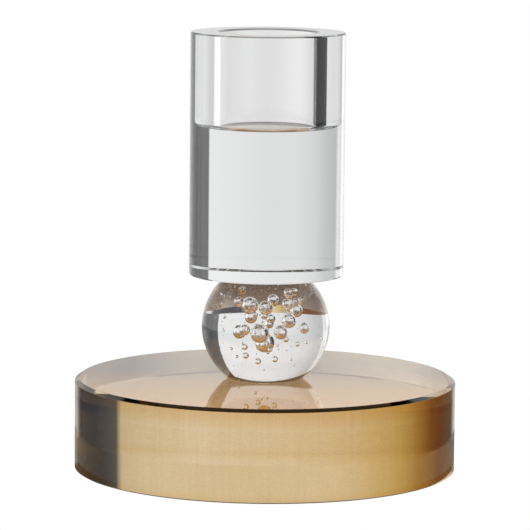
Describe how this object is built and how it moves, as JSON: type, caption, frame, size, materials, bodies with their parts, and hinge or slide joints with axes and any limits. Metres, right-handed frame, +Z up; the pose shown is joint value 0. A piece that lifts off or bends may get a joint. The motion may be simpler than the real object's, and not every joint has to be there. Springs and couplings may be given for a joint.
{
  "type": "candlestick",
  "caption": "Taper candlestick: a clear crystal cup with a round socket, on a bubbled glass ball, on a thick amber glass disc.",
  "frame": {"origin": "centre of the amber disc's underside, on the table", "axes": "+Z up along the axis of the disc, the ball, the cup and its socket; the object is round, so +X and +Y are free, and -Y is taken as the front"},
  "size_m": [0.0864, 0.0864, 0.0991],
  "materials": {
    "amber_glass": "polished amber glass, tinted through",
    "bubble_glass": "polished clear glass full of air bubbles",
    "clear_glass": "polished clear crystal",
    "adhesive": "thin film of clear cured adhesive"
  },
  "bodies": {
    "root": {"amber_base": "amber_glass", "lower_bond": "adhesive", "bubble_ball": "bubble_glass", "upper_bond": "adhesive", "candle_cup": "clear_glass"}
  },
  "joints": []
}
